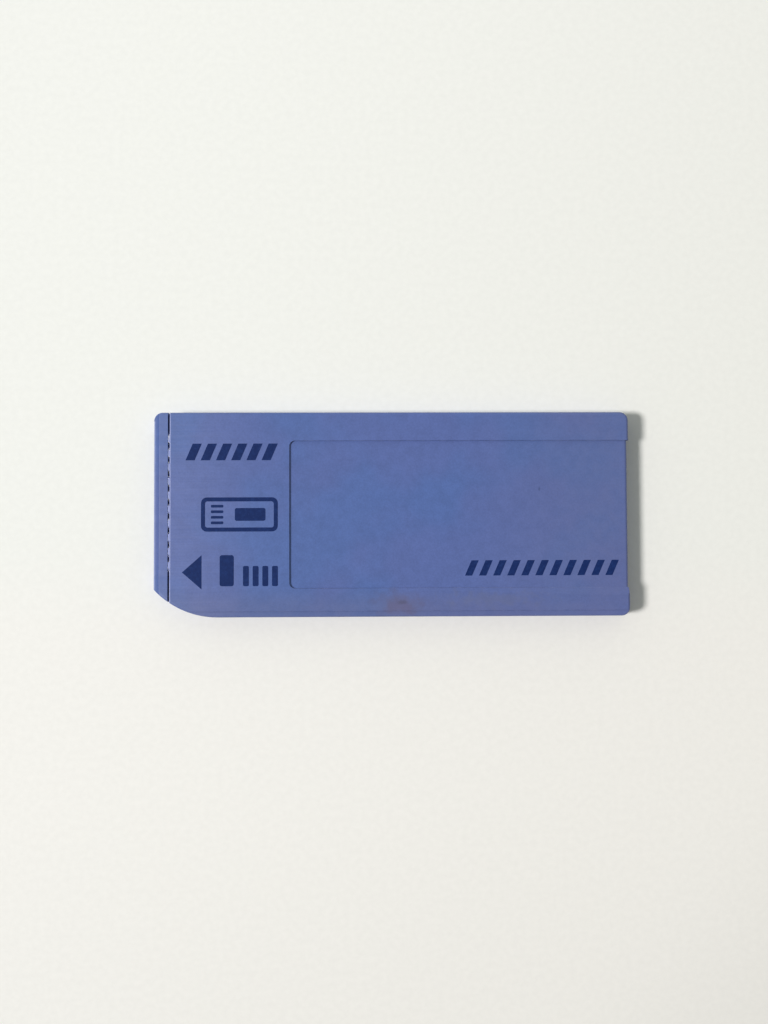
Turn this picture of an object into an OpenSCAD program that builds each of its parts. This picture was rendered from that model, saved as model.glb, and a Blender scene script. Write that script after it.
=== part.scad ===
// Thin oblong memory card with a sliding write lock.
// The nose, where the contacts are, points to -X, and the label faces +Z.
// The card lies on its underside, with the origin under the middle of its outline.

/* [Card] */
// Length of the card, nose to tail
card_l = 50; // [49:0.5:60]
// Width of the card
card_w = 21.5; // [21:0.5:26]
// Thickness of the card
card_t = 2.8; // [2.8:0.1:3.4]
// Radius of the three plain corners, seen from above
corner_r = 0.9; // [0.6:0.1:1.6]
// Rounding along the top edges
top_round = 0.3; // [0.1:0.05:0.35]
// Rounding along the bottom edges
base_round = 0.2; // [0.1:0.05:0.3]

/* [Cut corner] */
// Radius of the long curve that cuts the corner beside the nose
cut_r = 9.1; // [8:0.1:12]
// How far along the long side the curve reaches from the nose
cut_l = 6.7; // [6:0.1:7.4]

/* [Shells] */
// Thickness of the side walls
wall = 0.8; // [0.7:0.05:1]
// Thickness of the floor
floor_t = 0.6; // [0.5:0.05:0.7]
// Thickness of the cover beside the label
roof_t = 0.65; // [0.55:0.05:0.7]
// Height of the parting line between the two shells
part_z = 1.4; // [1.3:0.05:1.6]
// Thickness of the lip that stands inside the cover's wall
lip_t = 0.35; // [0.25:0.05:0.45]
// Height of that lip
lip_h = 0.35; // [0.2:0.05:0.5]
// Thickness of the cover's front wall
front_t = 0.7; // [0.5:0.05:0.9]
// Clearance where one piece slips into or over another
slip = 0.05; // [0.03:0.01:0.08]

/* [Nose] */
// Length of the nose bar, front to back
bar_l = 1.5; // [1.35:0.01:1.8]
// Width of the seam between the nose bar and the cover
seam = 0.16; // [0.1:0.02:0.3]
// Width of the step along the front of the nose bar
nose_step_w = 0.6; // [0.4:0.05:0.8]
// Depth of that step
nose_step_d = 0.3; // [0.1:0.05:0.35]
// Thickness of the nose bar where it bridges a window
bridge_t = 0.55; // [0.5:0.05:0.8]
// Draft taken off the lower back edge of each bridge
bridge_draft = 0.3; // [0.1:0.05:0.4]
// Bevel along the front edge of the cover, at the seam
seam_bevel = 0.08; // [0.04:0.02:0.12]

/* [Top face] */
// Width of the shallow step along one long side
rim_w = 0.62; // [0.4:0.02:0.8]
// Depth of that step
rim_d = 0.1; // [0.03:0.01:0.12]
// Distance of the label recess from the nose
label_from_nose = 14.2; // [12:0.1:18]
// Distance of the label recess from each long side
label_margin = 3.0; // [2.5:0.1:4]
// Depth of the label recess
label_d = 0.2; // [0.15:0.05:0.35]
// Corner radius of the label recess
label_r = 0.6; // [0.3:0.1:1]
// Depth of the label recess where it turns down over the tail
spine_d = 0.15; // [0.1:0.05:0.25]
// Height at which the recess ends on the tail
spine_z = 0.6; // [0.5:0.05:0.9]
// Rounding of the card's edge inside the recess, at the tail
spine_round = 0.3; // [0.15:0.05:0.4]
// Width of the ramp out of the recess at the tail, on the side of the cut corner
ramp_w = 0.85; // [0.3:0.05:1.2]
// Length over which that ramp grows towards the tail
ramp_l = 32; // [20:1:34]

/* [Contacts] */
// Distance from one contact to the next
contact_pitch = 1.5; // [1.4:0.05:1.55]
// Width of the window over each contact
window_w = 0.9; // [0.8:0.05:1.1]
// How far the windows reach back from the nose
window_l = 6; // [5:0.25:7]
// How far the row of contacts lies off the card's middle line
row_shift = 1.35; // [1:0.05:1.45]
// Thickness of a contact
contact_t = 0.035; // [0.02:0.005:0.06]
// Bare board round each contact inside its window
contact_edge = 0.05; // [0.03:0.01:0.1]

/* [Board] */
// Thickness of the circuit board
board_t = 0.45; // [0.4:0.05:0.5]
// Gap between the board and the walls
board_gap = 0.1; // [0.05:0.05:0.2]
// How far behind the seam the board starts
board_back = 0.13; // [0.1:0.01:0.3]
// Diameter of the two locating pegs
peg_d = 1.2; // [1:0.1:1.4]
// Height of the pegs above the board
peg_h = 0.7; // [0.5:0.05:0.8]
// Wall of the cover's bosses round the pegs
boss_wall = 0.45; // [0.3:0.05:0.6]
// Distance of the front peg from the nose, and of the rear peg from the tail
peg_in = 4.0; // [3.6:0.1:4.2]
// Distance of the pegs from the card's long sides
peg_side = 2.9; // [2.7:0.1:3]

/* [Chips] */
// Distance of the storage chip's body from the nose
flash_from_nose = 19.3; // [19:0.1:20.5]
// Distance of the storage chip's body from the tail
flash_from_tail = 12.3; // [12.2:0.1:14]
// Width of the storage chip's body
flash_w = 12; // [11:0.25:12]
// Side length of the controller's body
control_l = 7; // [6:0.25:7]
// Distance of the controller's middle from the nose
control_x = 11.8; // [11.5:0.1:12.5]
// Thickness of both chip bodies
chip_t = 0.8; // [0.6:0.05:0.85]
// Gap under both chip bodies
chip_lift = 0.05; // [0.02:0.01:0.08]
// Distance from one leg to the next
leg_pitch = 0.5; // [0.4:0.05:0.5]
// Width of a leg
leg_w = 0.22; // [0.16:0.02:0.26]
// Thickness of a leg
leg_t = 0.13; // [0.08:0.01:0.16]
// How far a leg reaches out from the body
leg_l = 0.8; // [0.7:0.05:1]

/* [Small parts] */
// Length of a chip capacitor or resistor
chip_part_l = 1.6; // [1.2:0.1:1.8]
// Width of a chip capacitor or resistor
chip_part_w = 0.8; // [0.5:0.05:0.9]
// Distance of the front row of small parts from the side with the cut corner
low_row = 4.15; // [4:0.05:4.3]
// Distance of the row beside the storage chip from that side
lock_row = 3.55; // [3.4:0.05:3.7]
// Distance of the far row of small parts from the other side
high_row = 2.75; // [2.6:0.05:2.9]
// Height of a capacitor
capacitor_h = 0.7; // [0.4:0.05:0.8]
// Height of a resistor
resistor_h = 0.45; // [0.3:0.05:0.5]
// Length of the metal cap on each end
end_cap_l = 0.3; // [0.2:0.05:0.4]
// How far the metal cap stands proud of the body
end_cap_t = 0.03; // [0.02:0.01:0.05]

/* [Lock] */
// Travel of the lock slider
lock_travel = 2; // [1.5:0.1:2.2]
// Distance of the slider's middle from the tail
lock_from_tail = 5.5; // [5:0.1:5.6]
// Distance of the slot's middle from the card's middle line
lock_off = 5.0; // [4.8:0.1:5.1]
// Length of the knob, along its travel
knob_l = 2.2; // [1.8:0.1:2.4]
// Width of the knob, across its travel
knob_w = 2.6; // [2.2:0.1:2.8]
// How far the knob stays above the card's underside
knob_sink = 0.08; // [0.05:0.01:0.2]
// Clearance between the knob and its slot
slot_clear = 0.08; // [0.05:0.01:0.1]
// Depth of the shallow dish round the slot
dish_d = 0.15; // [0.1:0.05:0.25]
// Width of that dish beyond the slot
dish_w = 0.6; // [0.4:0.1:0.8]
// Length of the arrow beside the slot
arrow_l = 1.6; // [1:0.1:2]
// Width of that arrow
arrow_w = 1.4; // [1:0.1:1.8]
// Depth of that arrow
arrow_d = 0.12; // [0.08:0.02:0.2]
// Distance of the arrow from the dish
arrow_gap = 0.6; // [0.4:0.1:0.8]
// Thickness of the slider's plate
plate_t = 0.33; // [0.25:0.02:0.4]
// How far the plate reaches past the knob on each side
plate_side = 0.7; // [0.5:0.05:0.8]
// How far the plate still covers the slot's end at full travel
plate_lap = 0.35; // [0.2:0.05:0.4]
// Gap under the plate
plate_gap = 0.02; // [0.01:0.005:0.04]
// Thickness of the rails beside the plate
rail_t = 0.35; // [0.25:0.05:0.4]
// Depth of the grooves across the knob
grip_d = 0.12; // [0.08:0.02:0.2]
// Thickness of the wiper spring
spring_t = 0.1; // [0.08:0.01:0.12]
// Gap between the wiper's fingers and the pads
touch_gap = 0.03; // [0.03:0.005:0.05]
// Diameter of the studs that hold the wiper
stud_d = 0.6; // [0.5:0.05:0.7]

/* [Hidden] */
$fn = 96;
CONTACTS = 10;

// Length by which a cutter runs past the face that it cuts
over = 0.3;

// Outline
nose_x = -card_l / 2;
tail_x = card_l / 2;
side_y = card_w / 2;
cut_x = nose_x + cut_l;
cut_y = -side_y + cut_r;

// Nose and cover
bar_x = nose_x + bar_l;
cover_x = bar_x + seam;
front_x = cover_x + front_t;
roof_z = card_t - roof_t;
label_x = nose_x + label_from_nose;
label_y = side_y - label_margin;

// Contacts
first_contact_y = row_shift - contact_pitch * (CONTACTS - 1) / 2;
contact_w = window_w - 2 * contact_edge;

// Board
board_x = cover_x + board_back;
board_z = floor_t + board_t;
peg_hole_d = peg_d + 2 * slip;
peg_places = [
    [nose_x + peg_in, -side_y + peg_side],
    [tail_x - peg_in, side_y - peg_side]
];

// Chips
chip_z = board_z + chip_lift;
flash_l = card_l - flash_from_nose - flash_from_tail;
flash_at = [nose_x + flash_from_nose + flash_l / 2, row_shift];
control_at = [nose_x + control_x, row_shift];
legs_on_flash = 24;
legs_on_control = 12;
leg_knee = 0.35 * leg_l;
leg_heel = 0.5 * leg_l;
leg_skew = 0.7 * leg_t;
chip_bevel = 0.12;
dimple_d = 1;
dimple_deep = 0.05;

// Small parts
low_y = -side_y + low_row;
lock_row_y = -side_y + lock_row;
high_y = side_y - high_row;
part_from_nose = [9.4, 13.6, 17.2, 21];
part_from_tail = [21.5, 17, 13.6, 9.2];
part_from_side = [3.75, 6.75];
capacitor_places = [
    [nose_x + part_from_nose[0], low_y],
    [nose_x + part_from_nose[1], low_y],
    [nose_x + part_from_nose[0], high_y],
    [nose_x + part_from_nose[1], high_y],
    [tail_x - part_from_tail[0], lock_row_y],
    [tail_x - part_from_tail[3], side_y - part_from_side[1]]
];
resistor_places = [
    [nose_x + part_from_nose[2], low_y],
    [nose_x + part_from_nose[3], lock_row_y],
    [tail_x - part_from_tail[1], lock_row_y],
    [tail_x - part_from_tail[2], lock_row_y],
    [tail_x - part_from_tail[3], side_y - part_from_side[0]]
];

// Lock: the slider rests at the end of its slot that is nearer to the middle of the card
lock_x = tail_x - lock_from_tail;
lock_y = -lock_off + lock_travel / 2;
slot_l = knob_l + lock_travel + 2 * slot_clear;
slot_w = knob_w + 2 * slot_clear;
plate_l = slot_l + lock_travel + 2 * plate_lap;
plate_w = knob_w + 2 * plate_side;
plate_z = floor_t + plate_gap + plate_t;
rail_x = plate_w / 2 + slip;
rail_z = plate_z;
notch_x = lock_x - rail_x - rail_t - board_gap;
notch_y = lock_y + plate_l / 2 + board_gap + slip;
pad_z = board_z + contact_t;
hold_w = 0.4;
grips = 3;

// Wiper: its flat base, and the bends of its fingers counted from the front of the base
wiper_w = 0.5;
wiper_off = 0.9;
wiper_x = -1.6;
wiper_back = 1.0;
wiper_half = 1.4;
wiper_rise = 0.33;
wiper_ramp = 0.5;
wiper_crest = 1.1;
wiper_reach = 1.9;
wiper_tip_l = 0.3;
wiper_tip_rise = 0.12;
stud_x = -0.3;
stud_y = 0.9;
stud_clear = 0.02;
pad_l = 1.4;

// Card's outline, drawn in by d on every side
module card_outline(d = 0) {
    difference() {
        rounded_plate(d, max(corner_r - d, 0.2));
        translate([nose_x - 1, -side_y - 1]) square([cut_l + 1, cut_r + 1]);
    }
    intersection() {
        translate([nose_x + d, -side_y - 1]) square([cut_l - d, cut_r + 1]);
        translate([cut_x, cut_y]) circle(r = cut_r - d);
    }
}

module rounded_plate(d, r) {
    translate([nose_x + d + r, -side_y + d]) square([card_l - 2 * (d + r), card_w - 2 * d]);
    translate([nose_x + d, -side_y + d + r]) square([card_l - 2 * d, card_w - 2 * (d + r)]);
    for (x = [nose_x + d + r, tail_x - d - r], y = [-side_y + d + r, side_y - d - r])
        translate([x, y]) circle(r = r);
}

// Card's outline from x = from to x = to
module outline_part(from, to, d = 0) {
    intersection() {
        card_outline(d);
        translate([from, -card_w]) square([to - from, 2 * card_w]);
    }
}

// What a rounding takes off an edge: the wall is at x = 0, the top at y = 0
module round_profile(r) {
    difference() {
        translate([-over, -r]) square([over + r, over + r]);
        translate([r, -r]) circle(r = r);
    }
}

module round_straight(r, length) {
    rotate([90, 0, 90]) linear_extrude(length) round_profile(r);
}

// Quarter turn of the rounding, along a convex corner of this radius
module round_corner(r, radius) {
    rotate_extrude(angle = 90) translate([radius, 0]) mirror([1, 0]) round_profile(r);
}

// Rounding of every top edge of the outline but the nose, at z = 0
module round_rim(r) {
    side = card_w - 2 * corner_r;
    right_x = tail_x - corner_r;
    back_y = side_y - corner_r;
    translate([cut_x, -side_y, 0]) round_straight(r, right_x - cut_x);
    translate([tail_x, -back_y, 0]) rotate([0, 0, 90]) round_straight(r, side);
    translate([right_x, side_y, 0]) rotate([0, 0, 180]) round_straight(r, card_l - 2 * corner_r);
    translate([right_x, -back_y, 0]) rotate([0, 0, 270]) round_corner(r, corner_r);
    translate([right_x, back_y, 0]) round_corner(r, corner_r);
    translate([-right_x, back_y, 0]) rotate([0, 0, 90]) round_corner(r, corner_r);
    translate([cut_x, cut_y, 0]) rotate([0, 0, 180]) round_corner(r, cut_r);
}

// Rounding along the nose, at z = 0
module round_nose(r) {
    translate([nose_x, side_y - corner_r, 0]) rotate([0, 0, 270]) round_straight(r, card_w);
}

// Space of the label: across the top face, then down over the tail
module label_recess() {
    skin_x = tail_x - spine_d;
    skin_z = card_t - label_d;
    difference() {
        translate([0, 0, spine_z]) linear_extrude(card_t) {
            translate([label_x + label_r, -label_y]) square([card_l, 2 * label_y]);
            translate([label_x, -label_y + label_r]) square([card_l, 2 * (label_y - label_r)]);
            for (y = [-1, 1]) translate([label_x + label_r, y * (label_y - label_r)]) circle(r = label_r);
        }
        rotate([90, 0, 0]) linear_extrude(card_w, center = true) {
            translate([nose_x, 0]) square([skin_x - nose_x, skin_z - spine_round]);
            translate([nose_x, 0]) square([skin_x - spine_round - nose_x, skin_z]);
            translate([skin_x - spine_round, skin_z - spine_round]) circle(r = spine_round);
        }
    }
}

// Ramp from the recess up to the rail beside the cut corner, widest at the tail
module label_ramp() {
    across = atan(label_d / ramp_w);
    along = atan(label_d / ramp_l);
    skin_x = tail_x - spine_d;
    beyond = ramp_w * (spine_d + over) / spine_d;
    translate([skin_x, -label_y, card_t - label_d]) rotate([-across, along, 0]) translate([-card_l, -card_w, 0])
        cube([card_l + over + spine_d, card_w, card_t]);
    translate([0, 0, spine_z]) linear_extrude(card_t) polygon([
        [skin_x, -label_y],
        [tail_x + over, -label_y - beyond],
        [tail_x + over, -label_y]
    ]);
}

// Places something at each contact
module at_contacts() {
    for (i = [1:CONTACTS]) translate([0, contact_y(i), 0]) children();
}

function contact_y(i) = first_contact_y + (i - 1) * contact_pitch;

// Window of one contact: open at the nose, under the bar, and through the floor
module window() {
    translate([nose_x - over, -window_w / 2, -over])
        cube([window_l + over, window_w, floor_t + over]);
    translate([nose_x - over, -window_w / 2, -over])
        cube([bar_l + over, window_w, card_t - bridge_t + over]);
    translate([0, window_w / 2, 0]) rotate([90, 0, 0]) linear_extrude(window_w) polygon([
        [bar_x - bridge_draft, card_t - bridge_t],
        [bar_x, card_t - bridge_t],
        [bar_x, card_t - bridge_t + bridge_draft]
    ]);
}

module bottom_case() color("#6573ad") {
    difference() {
        union() {
            linear_extrude(part_z) card_outline();
            linear_extrude(card_t) outline_part(nose_x - 1, bar_x);
            linear_extrude(part_z + lip_h) outline_part(front_x + slip, tail_x, wall - lip_t);
        }
        translate([0, 0, floor_t]) linear_extrude(card_t) outline_part(bar_x, tail_x, wall);
        at_contacts() window();
        translate([nose_x - over, -card_w, card_t - nose_step_d])
            cube([nose_step_w + over, 2 * card_w, nose_step_d + over]);
        translate([0, 0, card_t - nose_step_d]) round_nose(top_round / 2);
        translate([0, 0, card_t]) round_rim(top_round);
        mirror([0, 0, 1]) round_rim(base_round);
        mirror([0, 0, 1]) round_nose(base_round);
        label_recess();
        label_ramp();
        lock_slot();
        lock_arrow();
    }
    for (p = peg_places) translate([p[0], p[1], floor_t]) cylinder(d = peg_d, h = board_t + peg_h);
    for (s = [-1, 1]) lock_rail(s);
}

// Arrow in the underside that shows which way the knob locks
module lock_arrow() {
    x = lock_x - slot_w / 2 - dish_w - arrow_gap - arrow_w;
    translate([x, -lock_off, -over]) linear_extrude(arrow_d + over) polygon([
        [0, arrow_l / 2],
        [arrow_w, arrow_l / 2],
        [arrow_w / 2, -arrow_l / 2]
    ]);
}

// Slot for the knob, in its shallow dish in the underside
module lock_slot() {
    dish_l = slot_l + 2 * dish_w;
    translate([lock_x - slot_w / 2, -lock_off - slot_l / 2, -over])
        cube([slot_w, slot_l, floor_t + 2 * over]);
    translate([lock_x - slot_w / 2 - dish_w, -lock_off - dish_l / 2, -over])
        cube([slot_w + 2 * dish_w, dish_l, dish_d + over]);
}

// Rail beside the slider's plate, from the card's wall to the notch in the board
module lock_rail(side) {
    x = side > 0 ? lock_x + rail_x : lock_x - rail_x - rail_t;
    y = -side_y + wall;
    translate([x, y, floor_t]) cube([rail_t, notch_y - board_gap - y, rail_z - floor_t]);
}

module top_cover() color("#6573ad") {
    inner_z = part_z + lip_h + slip;
    difference() {
        translate([0, 0, part_z]) linear_extrude(card_t - part_z) outline_part(cover_x, tail_x + 1);
        translate([0, 0, part_z - over]) linear_extrude(roof_z - part_z + over)
            outline_part(front_x, tail_x, wall);
        translate([0, 0, part_z - over]) linear_extrude(inner_z - part_z + over)
            outline_part(front_x, tail_x, wall - lip_t - slip);
        translate([0, 0, card_t]) round_rim(top_round);
        translate([nose_x, -side_y - over, card_t - rim_d])
            cube([card_l + over, rim_w + over, rim_d + over]);
        translate([0, card_w, 0]) rotate([90, 0, 0]) linear_extrude(2 * card_w) polygon([
            [cover_x - over, card_t - seam_bevel - over],
            [cover_x - over, card_t + over],
            [cover_x + seam_bevel + over, card_t + over]
        ]);
        label_recess();
        label_ramp();
    }
    translate([0, 0, board_z + slip]) linear_extrude(part_z - board_z)
        outline_part(cover_x, front_x, wall + slip);
    for (p = peg_places) translate([p[0], p[1], board_z + slip]) peg_boss();
    hold_down(lock_x + plate_w / 2 - hold_w, plate_z + slip);
    hold_down(lock_x + hold_w, plate_z + spring_t + slip);
}

// Boss that takes a peg's end
module peg_boss() {
    boss_h = roof_z - board_z - slip;
    difference() {
        cylinder(d = peg_hole_d + 2 * boss_wall, h = boss_h);
        translate([0, 0, -over]) cylinder(d = peg_hole_d, h = peg_h + over);
    }
}

// Rib under the cover that keeps the slider down on the floor
module hold_down(x, z) {
    y = -side_y + wall + slip;
    translate([x, y, z]) cube([hold_w, notch_y - y, roof_z - z]);
}

module circuit_board() color("#2f6b46") {
    edge = wall + board_gap;
    translate([0, 0, floor_t]) linear_extrude(board_t) difference() {
        outline_part(board_x, tail_x, edge);
        translate([notch_x, -card_w]) square([card_l, card_w + notch_y]);
        for (p = peg_places) translate(p) circle(d = peg_hole_d);
    }
}

// Gold contact on the board's underside, number i counted from the cut corner
module contact(i) color("#d9b25a") {
    x = board_x + contact_edge;
    translate([x, contact_y(i) - contact_w / 2, floor_t - contact_t])
        cube([nose_x + window_l - contact_edge - x, contact_w, contact_t]);
}

// Bent leg: comes out of the body at x = 0, its foot on the board at z = 0
module leg() {
    rise = chip_lift + chip_t / 2;
    translate([0, leg_w / 2, 0]) rotate([90, 0, 0]) linear_extrude(leg_w) polygon([
        [0, rise],
        [leg_knee, rise],
        [leg_heel, leg_t],
        [leg_l, leg_t],
        [leg_l, 0],
        [leg_heel - leg_skew, 0],
        [leg_knee - leg_skew, rise - leg_t],
        [0, rise - leg_t]
    ]);
}

// Row of legs along one side of a body, centred on the row's middle
module leg_row(count) {
    for (i = [0:count - 1]) translate([0, (i - (count - 1) / 2) * leg_pitch, 0]) leg();
}

// Moulded chip body with bevelled edges and a dimple that marks its first leg
module chip_body(length, width) {
    difference() {
        translate([-length / 2, -width / 2, 0]) cube([length, width, chip_t]);
        for (s = [-1, 1]) {
            translate([s * length / 2, 0, chip_t]) rotate([0, 45, 0])
                cube([chip_bevel, 2 * width, chip_bevel], center = true);
            translate([0, s * width / 2, chip_t]) rotate([45, 0, 0])
                cube([2 * length, chip_bevel, chip_bevel], center = true);
        }
        translate([-length / 2 + dimple_d, width / 2 - dimple_d, chip_t - dimple_deep])
            cylinder(d = dimple_d, h = over);
    }
}

module flash_chip() color("#26272b") {
    translate([flash_at[0], flash_at[1], chip_z]) chip_body(flash_l, flash_w);
}

module flash_leads() color("silver") {
    translate([flash_at[0], flash_at[1], board_z]) for (a = [0, 180]) rotate([0, 0, a])
        translate([flash_l / 2, 0, 0]) leg_row(legs_on_flash);
}

module controller_chip() color("#26272b") {
    translate([control_at[0], control_at[1], chip_z]) chip_body(control_l, control_l);
}

module controller_leads() color("silver") {
    translate([control_at[0], control_at[1], board_z]) for (a = [0:90:270]) rotate([0, 0, a])
        translate([control_l / 2, 0, 0]) leg_row(legs_on_control);
}

// Chip part: a plain body between two metal end caps that stand slightly proud
module chip_part(height) {
    body_l = chip_part_l - 2 * end_cap_l;
    translate([-body_l / 2, end_cap_t - chip_part_w / 2, end_cap_t])
        cube([body_l, chip_part_w - 2 * end_cap_t, height - 2 * end_cap_t]);
    for (x = [-chip_part_l / 2, chip_part_l / 2 - end_cap_l])
        translate([x, -chip_part_w / 2, 0]) cube([end_cap_l, chip_part_w, height]);
}

module capacitor(i) color("#c9a777") {
    place = capacitor_places[i - 1];
    translate([place[0], place[1], board_z]) chip_part(capacitor_h);
}

module resistor(i) color("#3a3a3d") {
    place = resistor_places[i - 1];
    translate([place[0], place[1], board_z]) chip_part(resistor_h);
}

// Pad on the board's top face, under the stretch that a wiper finger sweeps
module lock_pad(from_y, to_y) color("#d9b25a") {
    x = lock_x + wiper_x - wiper_reach;
    translate([x - pad_l / 2, from_y, board_z]) cube([pad_l, to_y - from_y, contact_t]);
}

module lock_pad_common() lock_pad(lock_y - lock_travel - wiper_off - wiper_w, lock_y - wiper_off + wiper_w);

module lock_pad_signal() lock_pad(lock_y + wiper_off - wiper_w, lock_y + wiper_off + wiper_w);

module lock_slider() color("#c8c9cf") translate([lock_x, lock_y, 0]) {
    plate_low = floor_t + plate_gap;
    groove = knob_l / (2 * grips + 1);
    translate([-plate_w / 2, -plate_l / 2, plate_low]) cube([plate_w, plate_l, plate_t]);
    difference() {
        translate([-knob_w / 2, -knob_l / 2, knob_sink]) cube([knob_w, knob_l, plate_low - knob_sink]);
        for (i = [0:grips - 1]) translate([-knob_w, -knob_l / 2 + (2 * i + 1) * groove, 0])
            cube([2 * knob_w, groove, knob_sink + grip_d]);
    }
    for (s = [-1, 1]) translate([stud_x, s * stud_y, plate_z - slip])
        cylinder(d = stud_d, h = spring_t + 2 * slip);
}

// Wiper: a flat base on the slider's studs, and two fingers that reach over the board
module lock_spring() color("#c9a14a") translate([lock_x, lock_y, 0]) {
    low = [
        [wiper_x, plate_z],
        [wiper_x - wiper_ramp, plate_z + wiper_rise],
        [wiper_x - wiper_crest, plate_z + wiper_rise],
        [wiper_x - wiper_reach, pad_z + touch_gap],
        [wiper_x - wiper_reach - wiper_tip_l, pad_z + touch_gap + wiper_tip_rise]
    ];
    high = [for (i = [len(low) - 1:-1:0]) low[i] + [0, spring_t]];
    difference() {
        translate([wiper_x, -wiper_half, plate_z]) cube([wiper_back - wiper_x, 2 * wiper_half, spring_t]);
        for (s = [-1, 1]) translate([stud_x, s * stud_y, plate_z - over])
            cylinder(d = stud_d + 2 * stud_clear, h = spring_t + 2 * over);
    }
    for (s = [-1, 1]) translate([0, s * wiper_off + wiper_w / 2, 0]) rotate([90, 0, 0])
        linear_extrude(wiper_w) polygon(concat(low, high));
}

bottom_case();
top_cover();
circuit_board();
for (i = [1:CONTACTS]) contact(i);
controller_chip();
controller_leads();
flash_chip();
flash_leads();
for (i = [1:6]) capacitor(i);
for (i = [1:5]) resistor(i);
lock_pad_common();
lock_pad_signal();
lock_slider();
lock_spring();
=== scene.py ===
# %% [markdown]
# # A memory card, dressed for its portrait
# The solids of the card come from its construction file.
# This lesson gives them their looks: moulded plastic, gold contacts, printed ink, a pale table,
# one soft lamp and a camera that stands where the photographer stood.
# Nothing here moves or reshapes a solid. New pieces are only added on top of them.

# %% Load the frame
import math

import bmesh
import bpy
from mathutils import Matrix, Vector


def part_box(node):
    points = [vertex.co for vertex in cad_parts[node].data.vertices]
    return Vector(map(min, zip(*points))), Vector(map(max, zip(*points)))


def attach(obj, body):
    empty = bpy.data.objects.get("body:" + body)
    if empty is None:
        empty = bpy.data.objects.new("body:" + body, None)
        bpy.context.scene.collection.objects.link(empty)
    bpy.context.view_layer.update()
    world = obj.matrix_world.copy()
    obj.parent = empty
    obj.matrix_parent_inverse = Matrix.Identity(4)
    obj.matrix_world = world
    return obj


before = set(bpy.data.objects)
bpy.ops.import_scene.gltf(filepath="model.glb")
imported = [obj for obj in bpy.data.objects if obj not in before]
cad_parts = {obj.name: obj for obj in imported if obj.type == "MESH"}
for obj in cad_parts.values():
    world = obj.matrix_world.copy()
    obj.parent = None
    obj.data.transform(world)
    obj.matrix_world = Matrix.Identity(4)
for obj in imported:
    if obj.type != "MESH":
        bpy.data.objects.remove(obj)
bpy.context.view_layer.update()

# %% [markdown]
# ## Units and colours
# Blender works in metres, and a card is easier to think about in millimetres, so one factor joins them.
# Screen colours are written as people read them, from 0 to 255, and the shader wants linear light.
# The curve between the two could be guessed with a power of 2.2, but the exact one costs two lines.

# %% Millimetres and colours
MM = 0.001


def linear(red, green, blue):
    def channel(value):
        value /= 255
        return value / 12.92 if value <= 0.04045 else ((value + 0.055) / 1.055) ** 2.4

    return (channel(red), channel(green), channel(blue), 1)


print("middle grey in linear light:", round(linear(128, 128, 128)[0], 3))

# %% [markdown]
# ## Landmarks on the card
# Marks, wear and print are placed by the ends and faces of the card. Copying these numbers from the
# construction file would work until somebody changes a size there, so they are measured on the solids.

# %% Measure the card
low_corner, high_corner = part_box("bottom_case")
nose_x = low_corner.x / MM
tail_x = high_corner.x / MM
side_y = high_corner.y / MM
top_z = high_corner.z / MM
cover_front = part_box("top_cover")[0].x / MM
print("nose", round(nose_x, 2), "tail", round(tail_x, 2), "side", round(side_y, 2), "top", round(top_z, 2))
print("the cover starts at", round(cover_front, 2))

# %% [markdown]
# ## The camera
# The card was photographed from close above, by hand, so the view leans by two degrees and its edges
# spread a little towards the picture's border. A long lens far away would be simpler, but it would hide
# that spread and show the seam behind the nose from the wrong side.
# The place and lean were worked out from the four corners of the card.

# %% Stand the camera over the card
CAMERA_AT = (-3.23, -4.49, 119.75)
CAMERA_LEAN = (2.31, -1.14, -0.22)
LENS = 52.3
SENSOR = 36
CLIP_START = 5

camera_data = bpy.data.cameras.new("camera")
camera = bpy.data.objects.new("camera", camera_data)
bpy.context.scene.collection.objects.link(camera)
bpy.context.scene.camera = camera
camera.location = Vector(CAMERA_AT) * MM
camera.rotation_euler = [math.radians(angle) for angle in CAMERA_LEAN]
camera_data.sensor_fit = "HORIZONTAL"
camera_data.sensor_width = SENSOR
camera_data.lens = LENS
camera_data.clip_start = CLIP_START * MM
print("camera height over the label side:", round(CAMERA_AT[2] - top_z, 1), "mm")

# %% [markdown]
# ## The light
# The shadow in the photo falls only past the tail, as wide as the card is thick, with a soft border.
# That is one lamp on the nose's side, about 48 degrees up, with a face about 11 degrees across.
# A lamp with a place would also fade along the card, and the photo shows hardly any fading on the table,
# so a sun is used: its light is parallel and even, and its angle sets the softness of the shadow.
# The room's own light comes from every side, and fills a third.

# %% Hang the lamp
LAMP_HEIGHT = 48
LAMP_TURN = 8
LAMP_SIZE = 11
LAMP_SHARE = 0.67
LAMP_COLOUR = (1.0, 0.985, 0.975)
LAMP_AWAY = 0.3


def hang_sun(name, towards, size, energy):
    data = bpy.data.lights.new(name, "SUN")
    sun = bpy.data.objects.new(name, data)
    bpy.context.scene.collection.objects.link(sun)
    data.angle = math.radians(size)
    data.energy = energy
    sun.rotation_euler = towards.to_track_quat("Z", "Y").to_euler()
    sun.location = towards * LAMP_AWAY
    print(name, "energy", round(energy, 2))
    return data


up = math.radians(LAMP_HEIGHT)
turn = math.radians(LAMP_TURN)
towards_lamp = Vector((-math.cos(up) * math.cos(turn), -math.cos(up) * math.sin(turn), math.sin(up)))
lamp_data = hang_sun("lamp", towards_lamp, LAMP_SIZE, LAMP_SHARE * math.pi / math.sin(up))
lamp_data.color = LAMP_COLOUR

# %% [markdown]
# ## A lamp for the underside
# The contacts and the lock are on the underside, which lies on the table. To look at them from below, the
# table further down is made one-sided, and a wide soft lamp shines straight up from under it.
# Lifting the card would also show them, but it would take its shadow away from under it.
# The lamp stands upright because a slanted one would also brighten the card's sides.

# %% Hang the lower lamp
LOWER_LAMP_SIZE = 24
LOWER_LAMP_SHARE = 0.75

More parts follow.
